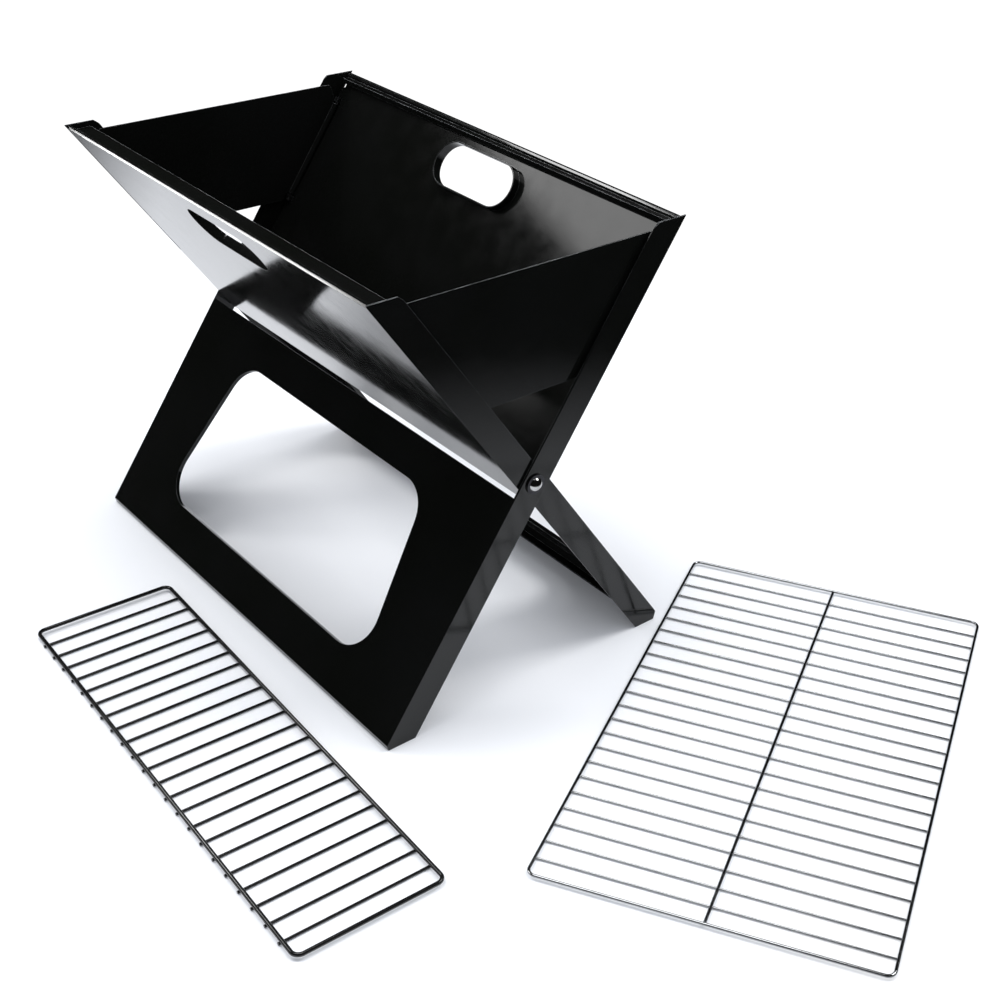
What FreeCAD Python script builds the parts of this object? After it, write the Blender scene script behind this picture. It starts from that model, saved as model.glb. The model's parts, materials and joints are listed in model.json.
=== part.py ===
"""Folding camp grill: two crossed sheet-steel frames on a common pivot, two hinged end walls,
a charcoal grate and a cooking grate laid out beside it.  Millimetres, +Z up.

X runs along the pivot line and Y across the fire trough.  The outer frame stands on its front
foot (-Y) and rises to the back rim (+Y).  The inner frame is its mirror image in Y and sits
between the outer frame's side strips.  A place on a frame is given by three numbers: x, the
distance t up the side strip from the pivot line, and the distance o from the strip's middle line,
which is positive on the side that faces up.  Both end walls are the same sheet: the near one (+X)
hinges on the inner frame, the far one on the outer frame, half a turn round the vertical.
"""
import FreeCAD
import Part
import os
from math import cos, pi, radians, sin, tan

V = FreeCAD.Vector

# ---- driving dimensions -------------------------------------------------------------------
TILT = radians(55.3)            # slope of both frames
PIVOT_Z = 183.0                 # height of the pivot line
TOP_Z = 364.0                   # level top ends of the side strips
STRIP = 24.0                    # width of a side strip
SHEET = 1.2                     # frame and panel sheet
OUTER_HALF = 225.0              # outer frame's outside face
INNER_HALF = 222.6              # inner frame's outside face
BEND = 1.0                      # outside radius of a sheet bend

LEG_PANEL_TOP = -16.0           # t of the leg panel's upper edge
BACK_PANEL_BOTTOM = 9.5         # t of the trough panels' lower edges; the front one laps
FRONT_PANEL_BOTTOM = -13.0      # down behind the leg panel
NEST_GAP = 0.3                  # between nested strips and panels when folded flat
STRIP_CUT = 4.0                 # cut-off upper corner of a strip
OUTER_FOOT_CUT = 6.0            # rounded-off tip of a foot
INNER_FOOT_CUT = 9.0
FOOT_LIP = 9.0                  # leg panel's lip along the floor
BORE_REACH = 10.0               # how far the pivot bore's tool passes the strip

WINDOW_TOP = -49.0              # leg window: t of its edges, half widths there
WINDOW_BOTTOM = -188.0
WINDOW_TOP_HALF = 138.0
WINDOW_BOTTOM_HALF = 161.0
WINDOW_RADIUS = 30.0
WINDOW_HEM = 3.5

HANDLE_T = 188.5                # centre of the hand hole
HANDLE_LENGTH = 100.0
HANDLE_HEIGHT = 38.0
HANDLE_HEM = 7.0
HANDLE_FLAT = 0.02              # straight run left between the two arcs of a round end

RIM_Z = 363.0                   # top of the rim's bead
RIM_FOOT_Z = 350.0              # where the rim's sheet joins the trough panel
BEAD_Y = 133.5                  # the bead's inner foot
BEAD_SLOPE = 1.3                # size of the bead's cut corners
LEDGE_Z = 359.5                 # top of the ledge that carries the cooking grate
OUTER_LEDGE_Y = 128.0           # the ledge's inner edge; the two pass when folded flat
INNER_LEDGE_Y = 117.5
LEDGE_DROP = 4.5                # its turned-down lip
OUTER_RIM_HALF = 221.0          # leaves room for the inner frame's strips when folded flat
INNER_RIM_HALF = 221.4
SLOT_START = 218.6              # corner slot that lets the end wall past when folding
SLOT_BOTTOM = 70.0
SLOT_TOP = 212.0

WALL = 1.0                      # end walls
WALL_OUT = 220.4
WALL_TOP_Z = 356.5
WALL_BOTTOM_Z = 257.0
WALL_EDGE = 4.0                 # o of its free edge, on the other frame
WALL_CORNER = 14.0
WALL_SMALL_CORNER = 3.0
WALL_NOTCH_RADIUS = 1.0
HINGE_X = 218.3
HINGE_O = -8.0
HINGE_PIN_R = 1.2
HINGE_FIT = 0.05
KNUCKLE_R = 2.2
KNUCKLE = (102.0, 194.0)        # t where the wall's rolled edge starts and ends
LUG = 4.0
LUG_GAP = 2.0                   # along the pin between a lug and the rolled edge
LUG_SKIN = 0.5                  # of a lug beyond its pin
PIN_OVERHANG = 1.5

BOLT_R = 3.0
BOLT_FIT = 0.05
HEAD_R = 5.6
HEAD_H = 3.6
WASHER_R = 8.0
WASHER = 1.5
NUT_ACROSS = 10.0
NUT_H = 5.0
NUT_GAP = 0.3                   # between the nut and the strip
BOLT_TAIL = 1.0                 # of the bolt past its nut
WASHER_FIT = 0.1

GRATE_PITCHES = 23
WELD = 0.25                     # how far welded wires sink into each other
COAL_GRATE = dict(length=430.0, width=117.0, wire=3.2, bar=2.2, corner=6.0, overhang=0.8,
                  centre=(145.5, -231.0), turn=-2.2)
COOK_GRATE = dict(length=414.0, width=254.0, wire=2.4, bar=1.7, corner=6.0, overhang=-0.6,
                  centre=(396.0, 105.0), turn=-60.0)
RIB = 2.4
RIB_GAP = 0.6                   # between the rib's ends and the loop


# ---- helpers ------------------------------------------------------------------------------
def place(side, x, t, o):
    """A point on the outer frame (side +1) or on the mirrored inner frame (side -1)."""
    y = t * cos(TILT) - o * sin(TILT)
    return V(x, side * y, PIVOT_Z + t * sin(TILT) + o * cos(TILT))


def t_at(z, o):
    """Distance up the strip where the line at offset o reaches the height z."""
    return (z - PIVOT_Z - o * cos(TILT)) / sin(TILT)


def normal(side):
    """Direction of growing o."""
    return V(0, -side * sin(TILT), cos(TILT))


def prism(points, direction):
    """Flat outline through the points, pushed along the direction."""
    face = Part.Face(Part.makePolygon(list(points) + [points[0]]))
    return face.extrude(direction)


def slab(side, half, t_low, t_high, o_low, o_high):
    """Block across the frame from -half to +half."""
    corners = [(t_low, o_low), (t_high, o_low), (t_high, o_high), (t_low, o_high)]
    return prism([place(side, -half, t, o) for t, o in corners], V(2 * half, 0, 0))


def rounded_wire(points, radii):
    """Closed wire through the points with a tangent arc of its own radius at each corner."""
    count = len(points)
    edges = []
    starts = []
    ends = []
    middles = []
    for i in range(count):
        here = points[i]
        back = (points[i - 1] - here).normalize()
        ahead = (points[(i + 1) % count] - here).normalize()
        half_angle = back.getAngle(ahead) / 2
        cut = radii[i] / tan(half_angle)
        bisector = (back + ahead).normalize()
        starts.append(here + back * cut)
        ends.append(here + ahead * cut)
        middles.append(here + bisector * (radii[i] / sin(half_angle) - radii[i]))
    for i in range(count):
        if radii[i] > 0:
            edges.append(Part.Arc(starts[i], middles[i], ends[i]).toShape())
        edges.append(Part.LineSegment(ends[i], starts[(i + 1) % count]).toShape())
    return Part.Wire(edges)


def mirrored_ends(solid):
    """The solid and its mirror image at the other end of the grill."""
    return [solid, solid.mirror(V(0, 0, 0), V(1, 0, 0))]


def half_turn(shape):
    """A copy turned half round the vertical, from the inner frame's near end to the outer's far."""
    turned = shape.copy()
    turned.rotate(V(0, 0, 0), V(0, 0, 1), 180)
    return turned


def round_edges(solid, radius, chosen):
    """Fillets the straight edges for which chosen(edge) holds."""
    return solid.makeFillet(radius, [edge for edge in solid.Edges if chosen(edge)])


def along(edge, direction):
    """Whether a straight edge runs along the direction."""
    if not isinstance(edge.Curve, Part.Line):
        return False
    return abs(abs(edge.tangentAt(edge.FirstParameter).dot(direction)) - 1) < 1e-6


# ---- outlines shared by both frames -------------------------------------------------------
def window_wire(side, o, grow):
    """Leg window, wider at the bottom, grown outwards all round."""
    top = WINDOW_TOP_HALF + grow
    bottom = WINDOW_BOTTOM_HALF + grow
    corners = [(-bottom, WINDOW_BOTTOM - grow), (bottom, WINDOW_BOTTOM - grow),
               (top, WINDOW_TOP + grow), (-top, WINDOW_TOP + grow)]
    return rounded_wire([place(side, x, t, o) for x, t in corners], [WINDOW_RADIUS + grow] * 4)


def handle_wire(side, o, grow):
    """Hand hole with round ends, grown outwards all round."""
    half_length = HANDLE_LENGTH / 2 + grow
    half_height = HANDLE_HEIGHT / 2 + grow
    low = HANDLE_T - half_height
    high = HANDLE_T + half_height
    corners = [(-half_length, low), (half_length, low), (half_length, high), (-half_length, high)]
    radius = half_height - HANDLE_FLAT / 2
    return rounded_wire([place(side, x, t, o) for x, t in corners], [radius] * 4)


def hemmed_hole(panel, side, outline, o_face, depth):
    """Cuts the outline through the panel and turns its edge inwards from o_face by depth."""
    push = normal(side)
    reach = 3 * STRIP
    hole = Part.Face(outline(side, o_face, 0)).extrude(push * reach)
    hole.translate(push * (-reach / 2))
    collar = Part.Face(outline(side, o_face, SHEET)).extrude(push * depth)
    return panel.fuse(collar).cut(hole)


def foot_cut(side):
    """Length of the rounding at the tip of a frame's feet."""
    return OUTER_FOOT_CUT if side > 0 else INNER_FOOT_CUT


def foot_points(side, x, o_edge):
    """Rounded-off tip of a foot: where it leaves the strip's edge and where it meets the floor."""
    leaves = place(side, x, t_at(0, o_edge) + foot_cut(side), o_edge)
    return leaves, V(x, leaves.y + side * foot_cut(side) / 4, 0)


def side_strips(side, half_width, panel_gap):
    """The pair of side strips with their pivot holes.

    panel_gap trims the edges that nest inside the other frame's panels when folded flat.
    """
    half = STRIP / 2
    inner = half - panel_gap
    x = half_width - SHEET
    leaves, meets = foot_points(side, x, half)
    points = [leaves, place(side, x, 0, half)]
    if panel_gap:
        points.append(place(side, x, 0, inner))
    corner = place(side, x, t_at(TOP_Z, inner), inner)
    points += [place(side, x, t_at(TOP_Z, inner) - STRIP_CUT, inner),
               corner + V(0, side * STRIP_CUT / 2, 0),
               place(side, x, t_at(TOP_Z, -half), -half), place(side, x, 0, -half)]
    if panel_gap:
        points.append(place(side, x, 0, -inner))
    points += [place(side, x, t_at(0, -inner), -inner), meets]
    strip = prism(points, V(SHEET, 0, 0))
    bore = Part.makeCylinder(BOLT_R + BOLT_FIT, 2 * BORE_REACH, V(half_width - BORE_REACH, 0, PIVOT_Z),
                             V(1, 0, 0))
    return mirrored_ends(strip.cut(bore))


# ---- frames -------------------------------------------------------------------------------
def leg_frame(side, half_width, panel_gap):
    """Windowed leg panel with its two long side strips, bent from one sheet."""
    half = STRIP / 2
    tip = t_at(0, half) + foot_cut(side)
    panel = slab(side, half_width, tip, LEG_PANEL_TOP, half - SHEET, half)
    frame = panel.fuse(side_strips(side, half_width, panel_gap))
    toe, meets = foot_points(side, -half_width, half)
    heel = place(side, -half_width, tip, half - SHEET)
    lip_end = meets + V(0, side * FOOT_LIP, 0)
    turn_under = [toe, meets, lip_end, lip_end + V(0, 0, SHEET),
                  meets + V(0, side * SHEET, SHEET), heel]
    frame = frame.fuse(prism(turn_under, V(2 * half_width, 0, 0)))
    frame = hemmed_hole(frame, side, window_wire, half, -WINDOW_HEM).removeSplitter()

    def bend_corner(edge):
        middle = edge.valueAt((edge.FirstParameter + edge.LastParameter) / 2)
        on_face = abs((middle - place(side, 0, 0, half)).dot(normal(side))) < 1e-4
        return (along(edge, place(side, 0, 1, 0) - place(side, 0, 0, 0)) and on_face
                and abs(abs(middle.x) - half_width) < 1e-4 and edge.Length > STRIP)
    return round_edges(frame.Solids[0], BEND, bend_corner)


def rim(side, half_length, ledge_y):
    """Raised bead along the panel's top, the ledge inside it and the ledge's turned-down lip."""
    face = -STRIP / 2
    under = face + SHEET
    bead_side = RIM_Z - BEAD_SLOPE
    outside = place(1, 0, t_at(bead_side, face), face).y
    ledge_under = LEDGE_Z - SHEET
    profile = [(place(1, 0, t_at(RIM_FOOT_Z, face), face).y, RIM_FOOT_Z), (outside, bead_side),
               (outside - BEAD_SLOPE, RIM_Z), (BEAD_Y + BEAD_SLOPE, RIM_Z), (BEAD_Y, bead_side),
               (BEAD_Y, LEDGE_Z), (ledge_y, LEDGE_Z), (ledge_y, LEDGE_Z - LEDGE_DROP),
               (ledge_y + SHEET, LEDGE_Z - LEDGE_DROP), (ledge_y + SHEET, ledge_under),
               (place(1, 0, t_at(ledge_under, under), under).y, ledge_under),
               (place(1, 0, t_at(RIM_FOOT_Z, under), under).y, RIM_FOOT_Z)]
    return prism([V(-half_length, side * y, z) for y, z in profile], V(2 * half_length, 0, 0))


def trough_panel(side, half_width, bottom, rim_half, ledge_y):
    """Upper panel of a frame: one side of the fire trough, with its rim and hand hole.

    Its corner slot lets the other frame's end wall through while the frames fold.
    """
    face = -STRIP / 2
    inside = half_width - SHEET
    panel = slab(side, inside, bottom, t_at(RIM_FOOT_Z, face), face, face + SHEET)
    slot = slab(side, (inside - SLOT_START) / 2, SLOT_BOTTOM, SLOT_TOP, face - SHEET, face + 2 * SHEET)
    slot.translate(V(side * (inside + SLOT_START) / 2, 0, 0))
    panel = panel.cut(slot).fuse(rim(side, rim_half, ledge_y))
    return hemmed_hole(panel, side, handle_wire, face, SHEET + HANDLE_HEM).removeSplitter()


# ---- pivot hardware -----------------------------------------------------------------------
def ring(x_low, x_high, radius, bore):
    """Washer or spacer on the pivot line."""
    length = x_high - x_low
    start = V(x_low, 0, PIVOT_Z)
    return Part.makeCylinder(radius, length, start, V(1, 0, 0)).cut(
        Part.makeCylinder(bore, length, start, V(1, 0, 0)))


def pivot_bolt():
    """Domed bolt: head outside the washer, shank through both strips."""
    seat = OUTER_HALF + WASHER
    inner_end = INNER_HALF - SHEET - NUT_GAP - NUT_H - BOLT_TAIL
    shank = Part.makeCylinder(BOLT_R, seat - inner_end, V(inner_end, 0, PIVOT_Z), V(1, 0, 0))
    radius = (HEAD_R ** 2 + HEAD_H ** 2) / (2 * HEAD_H)
    ball = Part.makeSphere(radius, V(seat + HEAD_H - radius, 0, PIVOT_Z))
    keep = Part.makeCylinder(HEAD_R, HEAD_H, V(seat, 0, PIVOT_Z), V(1, 0, 0))
    return shank.fuse(ball.common(keep)).removeSplitter()


def pivot_nut():
    """Hexagon nut against the inner frame's strip."""
    high = INNER_HALF - SHEET - NUT_GAP
    corner = NUT_ACROSS / 2 / cos(pi / 6)
    points = [V(high - NUT_H, corner * sin(i * pi / 3), PIVOT_Z + corner * cos(i * pi / 3))
              for i in range(6)]
    body = prism(points, V(NUT_H, 0, 0))
    return body.cut(Part.makeCylinder(BOLT_R, 3 * NUT_H, V(high - 2 * NUT_H, 0, PIVOT_Z), V(1, 0, 0)))


# ---- end walls ----------------------------------------------------------------------------
def wall_corner(z, outer_o):
    """Inner-frame coordinates (o, t) of the point at height z on the outer frame's line outer_o."""
    point = place(1, 0, t_at(z, outer_o), outer_o)
    rise = point.z - PIVOT_Z
    return (point.y * sin(TILT) + rise * cos(TILT), -point.y * cos(TILT) + rise * sin(TILT))


def wall_line(z, o):
    """Inner-frame coordinates (o, t) of the point at height z on the inner frame's line o."""
    return (o, t_at(z, o))


def end_wall():
    """End wall hinged inside the inner frame's strip, with its edge rolled round the pin."""
    x_in = WALL_OUT - WALL
    left = HINGE_O + LUG
    outline = [(HINGE_O, KNUCKLE[0]), (left, KNUCKLE[0]), wall_line(WALL_BOTTOM_Z, left),
               wall_corner(WALL_BOTTOM_Z, WALL_EDGE), wall_corner(WALL_TOP_Z, WALL_EDGE),
               wall_line(WALL_TOP_Z, STRIP / 4), (left, KNUCKLE[1] + LUG), (left, KNUCKLE[1]),
               (HINGE_O, KNUCKLE[1])]
    radii = [0, 0, WALL_SMALL_CORNER, WALL_CORNER, WALL_SMALL_CORNER, WALL_SMALL_CORNER,
             WALL_NOTCH_RADIUS, 0, 0]
    sheet = Part.Face(rounded_wire([place(-1, x_in, t, o) for o, t in outline], radii))
    sheet = sheet.extrude(V(WALL, 0, 0))
    low = place(-1, HINGE_X, KNUCKLE[0], HINGE_O)
    high = place(-1, HINGE_X, KNUCKLE[1], HINGE_O)
    run = high - low
    wall = sheet.fuse(Part.makeCylinder(KNUCKLE_R, run.Length, low, run))
    return wall.cut(Part.makeCylinder(HINGE_PIN_R + HINGE_FIT, run.Length, low, run)).removeSplitter()


def hinge_pin():
    """Straight pin held by the lugs."""
    overhang = LUG_GAP + LUG + PIN_OVERHANG
    low = place(-1, HINGE_X, KNUCKLE[0] - overhang, HINGE_O)
    high = place(-1, HINGE_X, KNUCKLE[1] + overhang, HINGE_O)
    return Part.makeCylinder(HINGE_PIN_R, (high - low).Length, low, high - low)


def hinge_lugs(x_high):
    """The two lugs that hold one hinge pin, standing on the trough panel as far out as x_high."""
    foot = -STRIP / 2 + SHEET
    x_low = HINGE_X - HINGE_PIN_R - LUG_SKIN
    top = HINGE_O + HINGE_PIN_R + LUG_SKIN
    lugs = []
    for start in (KNUCKLE[0] - LUG_GAP - LUG, KNUCKLE[1] + LUG_GAP):
        corners = [(start, foot), (start + LUG, foot), (start + LUG, top), (start, top)]
        lug = prism([place(-1, x_low, t, o) for t, o in corners], V(x_high - x_low, 0, 0))
        low = place(-1, HINGE_X, start - LUG, HINGE_O)
        up = place(-1, HINGE_X, start + 2 * LUG, HINGE_O) - low
        lugs.append(lug.cut(Part.makeCylinder(HINGE_PIN_R, up.Length, low, up)))
    return Part.makeCompound(lugs)


# ---- grates -------------------------------------------------------------------------------
def lay_down(shape, grate):
    """Turns a grate about the vertical and moves it to its place on the floor."""
    shape.rotate(V(0, 0, 0), V(0, 0, 1), grate["turn"])
    shape.translate(V(grate["centre"][0], grate["centre"][1], 0))
    return shape


def grate_frame(grate):
    """Round-cornered wire loop, carried on the cross bars."""
    wire_r = grate["wire"] / 2
    z = grate["bar"] + wire_r - WELD
    x = grate["length"] / 2 - wire_r
    y = grate["width"] / 2 - wire_r
    corners = [V(-x, -y, z), V(x, -y, z), V(x, y, z), V(-x, y, z)]
    path = rounded_wire(corners, [grate["corner"]] * 4)
    start = path.Edges[1].valueAt(path.Edges[1].FirstParameter)
    heading = path.Edges[1].tangentAt(path.Edges[1].FirstParameter)
    profile = Part.Wire(Part.makeCircle(wire_r, start, heading))
    ordered = Part.Wire(path.Edges[1:] + path.Edges[:1])
    return lay_down(ordered.makePipeShell([profile], True, False), grate)


def grate_bars(grate):
    """Evenly spaced cross bars, one solid each."""
    radius = grate["bar"] / 2
    pitch = (grate["length"] - grate["wire"]) / GRATE_PITCHES
    reach = grate["width"] / 2 + grate["overhang"]
    bars = []
    for i in range(1, GRATE_PITCHES):
        x = (i - GRATE_PITCHES / 2) * pitch
        bars.append(Part.makeCylinder(radius, 2 * reach, V(x, -reach, radius), V(0, 1, 0)))
    return lay_down(Part.makeCompound(bars), grate)


def grate_rib(grate):
    """Middle wire along the grate, on top of its bars."""
    reach = grate["length"] / 2 - grate["wire"] - RIB_GAP
    z = grate["bar"] + RIB / 2 - WELD
    return lay_down(Part.makeCylinder(RIB / 2, 2 * reach, V(-reach, 0, z), V(1, 0, 0)), grate)


# ---- the whole set ------------------------------------------------------------------------
def make_nodes():
    """Every node's shape, about the middle of the pivot line."""
    washer_bore = BOLT_R + WASHER_FIT
    nodes = {
        "outer_leg_frame": leg_frame(1, OUTER_HALF, 0),
        "back_panel": trough_panel(1, OUTER_HALF, BACK_PANEL_BOTTOM, OUTER_RIM_HALF, OUTER_LEDGE_Y),
        "inner_leg_frame": leg_frame(-1, INNER_HALF, SHEET + NEST_GAP),
        "front_panel": trough_panel(-1, INNER_HALF, FRONT_PANEL_BOTTOM, INNER_RIM_HALF,
                                    INNER_LEDGE_Y),
        "coal_grate_frame": grate_frame(COAL_GRATE),
        "coal_grate_bars": grate_bars(COAL_GRATE),
        "cooking_grate_frame": grate_frame(COOK_GRATE),
        "cooking_grate_bars": grate_bars(COOK_GRATE),
        "cooking_grate_rib": grate_rib(COOK_GRATE),
    }
    pairs = {
        "pivot_bolt": pivot_bolt(),
        "pivot_washer": ring(OUTER_HALF, OUTER_HALF + WASHER, WASHER_R, washer_bore),
        "pivot_spacer": ring(INNER_HALF, OUTER_HALF - SHEET, WASHER_R, washer_bore),
        "pivot_nut": pivot_nut(),
    }
    for name, shape in pairs.items():
        nodes["near_" + name], nodes["far_" + name] = mirrored_ends(shape)
    nodes["near_end_wall"] = end_wall()
    nodes["near_wall_hinge_pin"] = hinge_pin()
    nodes["near_wall_hinge_lugs"] = hinge_lugs(INNER_HALF - SHEET)
    nodes["far_end_wall"] = half_turn(end_wall())
    nodes["far_wall_hinge_pin"] = half_turn(hinge_pin())
    nodes["far_wall_hinge_lugs"] = half_turn(hinge_lugs(INNER_HALF - SHEET - LUG_SKIN))
    return nodes


def main():
    os.makedirs("parts", exist_ok=True)
    nodes = make_nodes()
    box = Part.makeCompound(list(nodes.values())).optimalBoundingBox(False)
    middle = V(box.Center.x, box.Center.y, 0)
    for name, shape in nodes.items():
        shape.translate(middle * -1)
        shape.exportStep("parts/" + name + ".step")
        print(name, "solids", len(shape.Solids), "valid", shape.isValid(), "volume", round(shape.Volume))
    print("pivot line at", -middle, "size", box.XLength, box.YLength, box.ZLength, "floor", box.ZMin)


main()
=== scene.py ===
"""Looks of the folding camp grill: enamelled sheet steel, wire grates, studio floor and lights."""
import json
import math
import bmesh
import bpy
from mathutils import Matrix, Vector

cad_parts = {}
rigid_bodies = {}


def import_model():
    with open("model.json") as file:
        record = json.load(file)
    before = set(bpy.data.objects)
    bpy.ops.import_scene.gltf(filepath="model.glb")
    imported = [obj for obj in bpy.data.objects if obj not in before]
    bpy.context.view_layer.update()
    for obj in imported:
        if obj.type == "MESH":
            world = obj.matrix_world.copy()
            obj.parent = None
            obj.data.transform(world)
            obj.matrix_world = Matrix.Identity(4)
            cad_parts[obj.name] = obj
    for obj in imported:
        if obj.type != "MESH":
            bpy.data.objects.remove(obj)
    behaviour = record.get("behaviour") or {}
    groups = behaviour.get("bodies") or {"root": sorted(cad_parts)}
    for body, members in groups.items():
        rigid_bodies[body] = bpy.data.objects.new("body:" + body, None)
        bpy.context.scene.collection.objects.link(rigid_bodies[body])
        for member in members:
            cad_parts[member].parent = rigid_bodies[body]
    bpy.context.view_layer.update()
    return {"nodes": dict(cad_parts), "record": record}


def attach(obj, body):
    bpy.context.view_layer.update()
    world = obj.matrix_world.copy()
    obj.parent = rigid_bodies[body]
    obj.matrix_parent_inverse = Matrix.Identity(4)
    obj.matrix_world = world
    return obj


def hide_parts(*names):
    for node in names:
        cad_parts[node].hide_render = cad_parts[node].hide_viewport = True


for leftover in list(bpy.data.objects):
    bpy.data.objects.remove(leftover)
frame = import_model()

# ---- the photograph's viewpoint, in metres from GRILL, and in degrees ----
CAMERA_PLACE = Vector((1.00483, -0.63566, 0.78432))
CAMERA_AZIMUTH = 48.077
CAMERA_ELEVATION = 28.874
CAMERA_ROLL = 2.329
CAMERA_SHIFT = (-0.1018, -0.0690)
LENS_PER_FRAME = 1.5757            # focal length over the sensor's width
SENSOR_WIDTH = 36.0                # mm

# ---- sheet metal ----
SAME_CORNER = 1e-6                 # mesh corners nearer to each other than this are one
FLAT_ANGLE = math.radians(0.4)     # faces that meet at less than this are one flat face
CUT_ANGLE = math.radians(28)       # edges that turn by more than this are rounded
CUT_ROUNDING = 0.00032
CUT_SEGMENTS = 2
EDGE_HIGHLIGHT_REACH = 0.0006                # how far from an edge the painted edge highlight, drawn as rubbed enamel, reaches
# colour of the painted highlight on the upper edges, drawn as worn bare steel
EDGE_HIGHLIGHT_COLOUR = (0.58, 0.59, 0.60)

# ---- floor and the world round it ----
FLOOR_REACH = 1.2                  # half of the floor's side
FLOOR_LEVEL = -0.0002              # just under the feet and the grates
FLOOR_MIDDLE = Vector((-0.10, -0.05, 0.0))
FLOOR_FADE = (0.58, 0.88)          # distances from its middle where it starts and stops fading
SKY = (0.72, 0.755, 0.82)          # the world as it lights the floor and the pieces
BACKDROP = (1.1, 1.1, 1.1)         # the world as the camera sees it
DIM_ROOM = (0.008, 0.008, 0.008)   # the world as the enamel and the metal mirror it

STEEL_NODES = ("outer_leg_frame", "back_panel", "inner_leg_frame", "front_panel",
               "near_end_wall", "far_end_wall")


def joint(name):
    return next(j for j in frame["record"]["behaviour"]["joints"] if j["name"] == name)


PIVOT = Vector(joint("frame_fold")["pos_m"])
GRILL = Vector((PIVOT.x, PIVOT.y, 0.0))    # the point of the floor under the pivot line


# ---- node-tree helpers ----------------------------------------------------------------------
class Shader:
    """A material's node tree, with short calls for the nodes that are used here."""

    def __init__(self, name):
        self.material = bpy.data.materials.new(name)
        self.material.use_nodes = True
        self.tree = self.material.node_tree
        self.bsdf = self.tree.nodes["Principled BSDF"]
        where = self.node("ShaderNodeTexCoord").outputs
        self.place = where["Object"]
        self.facing = where["Normal"]

    def node(self, kind, **settings):
        node = self.tree.nodes.new(kind)
        for key, value in settings.items():
            setattr(node, key, value)
        return node

    def link(self, source, target):
        self.tree.links.new(source, target)

    def noise(self, scale, detail=4.0):
        texture = self.node("ShaderNodeTexNoise")
        texture.inputs["Scale"].default_value = scale
        texture.inputs["Detail"].default_value = detail
        self.link(self.place, texture.inputs["Vector"])
        return texture.outputs["Fac"]

    def ramp(self, value, low, high, start=0.0, end=1.0):
        """The value's stretch from start to end turned into low to high."""
        remap = self.node("ShaderNodeMapRange")
        remap.inputs["From Min"].default_value = start
        remap.inputs["From Max"].default_value = end
        remap.inputs["To Min"].default_value = low
        remap.inputs["To Max"].default_value = high
        self.link(value, remap.inputs["Value"])
        return remap.outputs["Result"]

    def blend(self, factor, one, two):
        """Colour one, or the output that one is, where the factor is 0, and two where it is 1."""
        mix = self.node("ShaderNodeMix", data_type="RGBA")
        self.link(factor, mix.inputs["Factor"])
        if isinstance(one, bpy.types.NodeSocket):
            self.link(one, mix.inputs["A"])
        else:
            mix.inputs["A"].default_value = (*one, 1.0)
        mix.inputs["B"].default_value = (*two, 1.0)
        return mix.outputs["Result"]

    def bump(self, height, distance, strength, under=None):
        bump = self.node("ShaderNodeBump")
        bump.inputs["Distance"].default_value = distance
        bump.inputs["Strength"].default_value = strength
        self.link(height, bump.inputs["Height"])
        if under:
            self.link(under, bump.inputs["Normal"])
        return bump.outputs["Normal"]

    def edges(self, radius, start, end):
        """1 on a bent or cut edge, 0 further from it than the radius."""
        bevel = self.node("ShaderNodeBevel", samples=6)
        bevel.inputs["Radius"].default_value = radius
        face = self.node("ShaderNodeNewGeometry").outputs["True Normal"]
        cosine = self.node("ShaderNodeVectorMath", operation="DOT_PRODUCT")
        self.link(bevel.outputs["Normal"], cosine.inputs[0])
        self.link(face, cosine.inputs[1])
        return self.ramp(cosine.outputs["Value"], 0.0, 1.0, start, end)

    def upward(self, start, end):
        """1 where the piece faces up as it stands open, 0 where it faces sideways or down."""
        parts = self.node("ShaderNodeSeparateXYZ")
        self.link(self.facing, parts.inputs["Vector"])
        return self.ramp(parts.outputs["Z"], 0.0, 1.0, start, end)

    def times(self, one, two):
        product = self.node("ShaderNodeMath", operation="MULTIPLY")
        self.link(one, product.inputs[0])
        self.link(two, product.inputs[1])
        return product.outputs["Value"]

    def feed(self, **sources):
        """Links outputs to the shader's sockets."""
        for key, source in sources.items():
            self.link(source, self.bsdf.inputs[key.replace("_", " ")])

    def set(self, **values):
        """Numbers on the shader's own sockets."""
        for key, value in values.items():
            self.bsdf.inputs[key.replace("_", " ")].default_value = value


# ---- materials ------------------------------------------------------------------------------
def enamel():
    """Glossy black enamel: faint orange peel, uneven gloss, and a painted highlight on the upper
    edges, drawn as enamel rubbed bright.
    """
    shader = Shader("grill_enamel")
    cloud = shader.ramp(shader.noise(9.0, detail=3.0), low=0, high=1, start=0.35, end=0.7)
    coat = shader.blend(cloud, (0.0028, 0.0031, 0.0026), (0.0042, 0.0044, 0.0042))
    # painted highlight: a bright colour on the edges, strongest where they face up as if lit from
    # above, broken up by noise like wear
    edge = shader.edges(EDGE_HIGHLIGHT_REACH, start=0.985, end=0.86)
    patchy = shader.ramp(shader.noise(70.0), low=0.25, high=1.0, start=0.35, end=0.6)
    lit_from_above = shader.ramp(shader.upward(start=0.55, end=0.95), low=0.12, high=1.0)
    painted_edge_highlight = shader.times(shader.times(edge, patchy), lit_from_above)
    peel = shader.bump(shader.noise(420.0, detail=2.0), distance=0.00002, strength=0.25)
    shader.feed(
        Base_Color=shader.blend(painted_edge_highlight, coat, EDGE_HIGHLIGHT_COLOUR),
        Roughness=shader.ramp(shader.noise(60.0, detail=5.0), low=0.08, high=0.13,
                              start=0.3, end=0.7),
        Normal=shader.bump(shader.noise(9.0, detail=1.0), distance=0.0006, strength=0.015,
                           under=peel))
    shader.set(IOR=1.40)
    return shader.material


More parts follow.
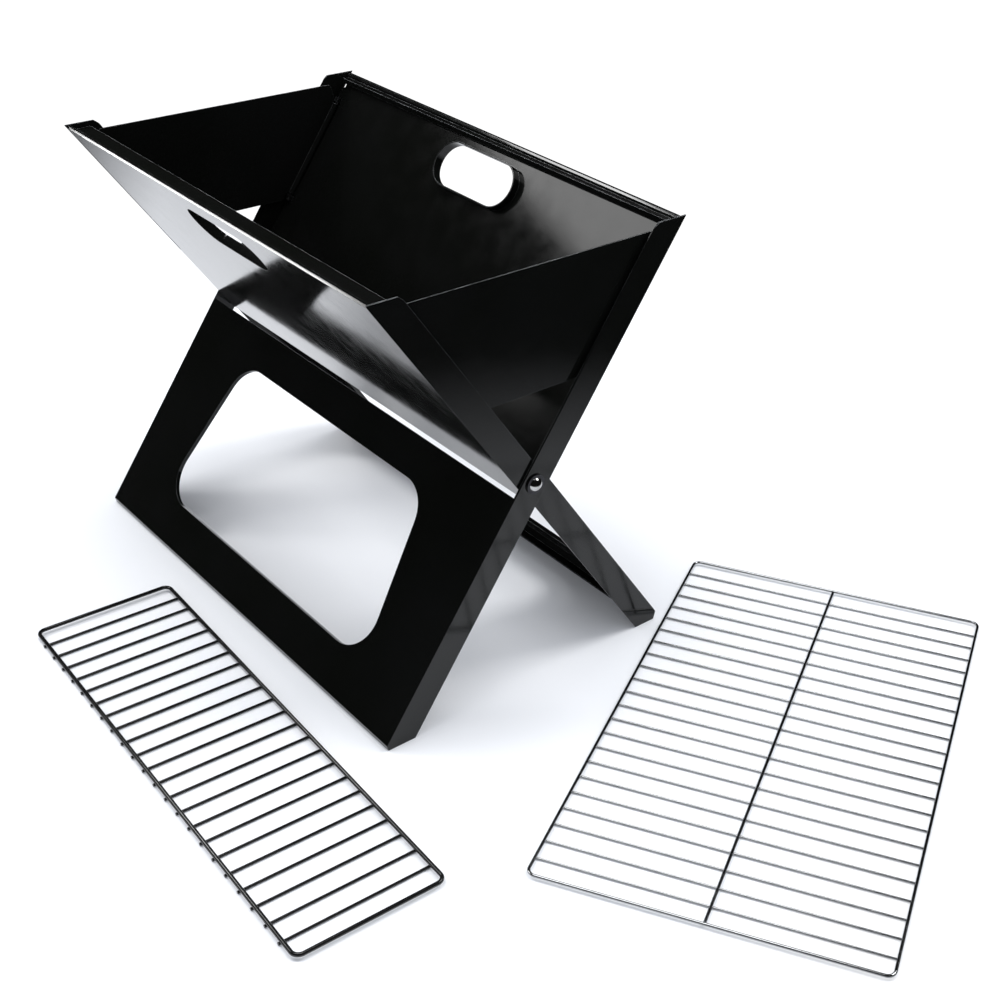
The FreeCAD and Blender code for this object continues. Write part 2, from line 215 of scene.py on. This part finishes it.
def wire_enamel():
    """Black enamel on wire, with small sags in the coat."""
    shader = Shader("black_wire_enamel")
    shader.feed(
        Base_Color=shader.blend(shader.noise(35.0, detail=3.0),
                                (0.0035, 0.0035, 0.0035), (0.009, 0.009, 0.009)),
        Roughness=shader.ramp(shader.noise(160.0), low=0.09, high=0.2, start=0.3, end=0.7),
        Normal=shader.bump(shader.noise(500.0, detail=3.0), distance=0.00008, strength=0.5))
    shader.set(IOR=1.5)
    return shader.material


def bright_metal(name, dark, light, roughness, grain, relief):
    """Plated or drawn metal: colour, roughness and bump vary with a fine grain."""
    shader = Shader(name)
    low, high = roughness
    shader.feed(
        Base_Color=shader.blend(shader.noise(grain / 8, detail=3.0), dark, light),
        Roughness=shader.ramp(shader.noise(grain), low, high, start=0.3, end=0.7),
        Normal=shader.bump(shader.noise(grain * 2, detail=3.0), distance=relief, strength=0.5))
    shader.set(Metallic=1.0)
    return shader.material


def nylon():
    """Dark matt plastic of the spacers."""
    shader = Shader("spacer_nylon")
    shader.feed(
        Base_Color=shader.blend(shader.noise(80.0), (0.02, 0.02, 0.02), (0.035, 0.035, 0.036)),
        Roughness=shader.ramp(shader.noise(200.0), low=0.4, high=0.55),
        Normal=shader.bump(shader.noise(900.0), distance=0.00005, strength=0.5))
    return shader.material


def floor_material():
    """White floor that ends softly: the dark studio beyond it is what the enamel mirrors."""
    shader = Shader("studio_floor")
    start, end = FLOOR_FADE
    far = shader.node("ShaderNodeVectorMath", operation="LENGTH")
    shader.link(shader.place, far.inputs[0])
    shader.feed(
        Alpha=shader.ramp(far.outputs["Value"], low=1.0, high=0.0, start=start, end=end),
        Base_Color=shader.blend(shader.noise(3.0), (0.88, 0.885, 0.90), (0.90, 0.905, 0.915)),
        Roughness=shader.ramp(shader.noise(40.0), low=0.6, high=0.7),
        Normal=shader.bump(shader.noise(300.0), distance=0.00005, strength=0.2))
    return shader.material


MATERIALS = {
    "enamel": enamel(),
    "black_wire": wire_enamel(),
    "chrome_wire": bright_metal(
        "chrome_wire", dark=(0.33, 0.34, 0.35), light=(0.48, 0.49, 0.50),
        roughness=(0.08, 0.18), grain=400.0, relief=0.00002),
    "bolt_steel": bright_metal(
        "polished_bolt", dark=(0.46, 0.46, 0.455), light=(0.58, 0.58, 0.575),
        roughness=(0.06, 0.16), grain=700.0, relief=0.00002),
    "dark_washer": bright_metal(
        "dark_washer", dark=(0.035, 0.035, 0.04), light=(0.07, 0.07, 0.075),
        roughness=(0.25, 0.4), grain=900.0, relief=0.00003),
    "spacer_nylon": nylon(),
    "pin_steel": bright_metal(
        "drawn_pin", dark=(0.06, 0.06, 0.065), light=(0.10, 0.10, 0.105),
        roughness=(0.3, 0.45), grain=900.0, relief=0.00003),
}


# ---- pieces ---------------------------------------------------------------------------------
def slot_of(node):
    return next(s["material_slot"] for s in frame["record"]["subparts"] if s["node"] == node)


def body_of(node):
    bodies = frame["record"]["behaviour"]["bodies"]
    return next(body for body, nodes in bodies.items() if node in nodes)


def rounded_sheet(node):
    """The sheet-metal node again, with the small rounding that stamping gives its cut edges."""
    source = frame["nodes"][node]
    mesh = bmesh.new()
    mesh.from_mesh(source.data)
    mesh.transform(source.matrix_world)
    bmesh.ops.remove_doubles(mesh, verts=mesh.verts, dist=SAME_CORNER)
    bmesh.ops.dissolve_limit(mesh, angle_limit=FLAT_ANGLE, verts=mesh.verts, edges=mesh.edges)
    data = bpy.data.meshes.new(node + "_steel")
    mesh.to_mesh(data)
    mesh.free()
    piece = bpy.data.objects.new(node + "_steel", data)
    bpy.context.scene.collection.objects.link(piece)
    data.materials.append(MATERIALS[slot_of(node)])
    data.shade_smooth()
    bevel = piece.modifiers.new("edge", "BEVEL")
    bevel.width = CUT_ROUNDING
    bevel.segments = CUT_SEGMENTS
    bevel.limit_method = "ANGLE"
    bevel.angle_limit = CUT_ANGLE
    bevel.use_clamp_overlap = True
    flat = piece.modifiers.new("flat", "WEIGHTED_NORMAL")
    flat.mode = "FACE_AREA"
    flat.weight = 100
    flat.keep_sharp = True
    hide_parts(node)
    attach(piece, body_of(node))
    return piece


sheets = {}
for name, obj in frame["nodes"].items():
    if name in STEEL_NODES:
        sheets[name] = rounded_sheet(name)
    else:
        for slot in obj.material_slots:
            slot.material = MATERIALS[slot_of(name)]


# ---- floor, lights and camera: places are in metres from GRILL ------------------------------
def floor():
    data = bpy.data.meshes.new("studio_floor")
    corners = [(x * FLOOR_REACH, y * FLOOR_REACH, FLOOR_LEVEL)
               for x, y in ((-1, -1), (1, -1), (1, 1), (-1, 1))]
    data.from_pydata(corners, [], [(0, 1, 2, 3)])
    plane = bpy.data.objects.new("studio_floor", data)
    plane.location = GRILL + FLOOR_MIDDLE
    bpy.context.scene.collection.objects.link(plane)
    data.materials.append(floor_material())


def area_light(name, middle, turn, size, power):
    """Rectangular light of size metres and power watts, turned by the 3 by 3 matrix turn."""
    light = bpy.data.lights.new(name, "AREA")
    light.shape = "RECTANGLE"
    light.size, light.size_y = size
    light.energy = power
    lamp = bpy.data.objects.new(name, light)
    lamp.matrix_world = Matrix.Translation(GRILL + middle) @ turn.to_4x4()
    bpy.context.scene.collection.objects.link(lamp)
    return lamp


def softbox(name, place, target, size, power):
    """Soft light at place, aimed at target."""
    aim = Vector(target) - Vector(place)
    area_light(name, Vector(place), aim.to_track_quat("-Z", "Y").to_matrix(), size, power)


def strip_light(name, start, end, target, width, power, lit):
    """Long narrow light from start to end, turned towards target, that lights one piece only."""
    start, end = Vector(start), Vector(end)
    middle = (start + end) / 2
    across = (end - start).normalized()
    away = middle - Vector(target)
    away = (away - away.dot(across) * across).normalized()
    turn = Matrix((across, away.cross(across), away)).transposed()
    lamp = area_light(name, middle, turn, ((end - start).length, width), power)
    receivers = bpy.data.collections.new(name)
    receivers.objects.link(lit)
    lamp.light_linking.receiver_collection = receivers


def world():
    """White all round for the floor and the camera; what the enamel mirrors is a dim room."""
    place = bpy.data.worlds.new("studio")
    bpy.context.scene.world = place
    place.use_nodes = True
    tree = place.node_tree
    path = tree.nodes.new("ShaderNodeLightPath")
    colour = None
    for ray, shown in (("Is Camera Ray", BACKDROP), ("Is Glossy Ray", DIM_ROOM)):
        mix = tree.nodes.new("ShaderNodeMix")
        mix.data_type = "RGBA"
        tree.links.new(path.outputs[ray], mix.inputs["Factor"])
        mix.inputs["A"].default_value = (*SKY, 1.0)
        mix.inputs["B"].default_value = (*shown, 1.0)
        if colour:
            tree.links.new(colour, mix.inputs["A"])
        colour = mix.outputs["Result"]
    tree.links.new(colour, tree.nodes["Background"].inputs["Color"])


def camera():
    """The photograph's viewpoint: the grill isn't on the lens axis, so the frame is shifted."""
    data = bpy.data.cameras.new("camera")
    data.sensor_width = SENSOR_WIDTH
    data.lens = LENS_PER_FRAME * SENSOR_WIDTH
    data.shift_x, data.shift_y = CAMERA_SHIFT
    eye = bpy.data.objects.new("camera", data)
    azimuth = math.radians(CAMERA_AZIMUTH)
    elevation = math.radians(CAMERA_ELEVATION)
    back = Vector((math.sin(azimuth) * math.cos(elevation),
                   -math.cos(azimuth) * math.cos(elevation),
                   math.sin(elevation)))
    right = Vector((0, 0, 1)).cross(back).normalized()
    right = Matrix.Rotation(math.radians(CAMERA_ROLL), 3, back) @ right
    up = back.cross(right)
    turn = Matrix((right, up, back)).transposed().to_4x4()
    eye.matrix_world = Matrix.Translation(GRILL + CAMERA_PLACE) @ turn
    bpy.context.scene.collection.objects.link(eye)
    bpy.context.scene.camera = eye


floor()
world()
softbox("back_right", place=(0.7, 1.3, 1.9), target=(0.1, 0.0, 0.0), size=(0.8, 0.8), power=20.0)
softbox("front_left", place=(-0.876, -0.802, 1.25), target=(0.0, 0.2, 0.32), size=(0.76, 0.52),
        power=6.0)
softbox("bead", place=(-1.33, -0.54, 1.6), target=(0.1, 0.13, 0.36), size=(0.45, 0.25), power=5.5)
strip_light("front_rim", start=(-1.50, -1.04, 1.385), end=(-1.80, -0.711, 1.016),
            target=(0.0, -0.148, 0.362), width=0.07, power=3.6, lit=sheets["front_panel"])
softbox("top", place=(-0.1, -0.1, 2.2), target=(0.0, 0.0, 0.0), size=(1.0, 1.0), power=21.0)
camera()
bpy.context.scene.view_settings.view_transform = "Standard"

bpy.context.view_layer.update()
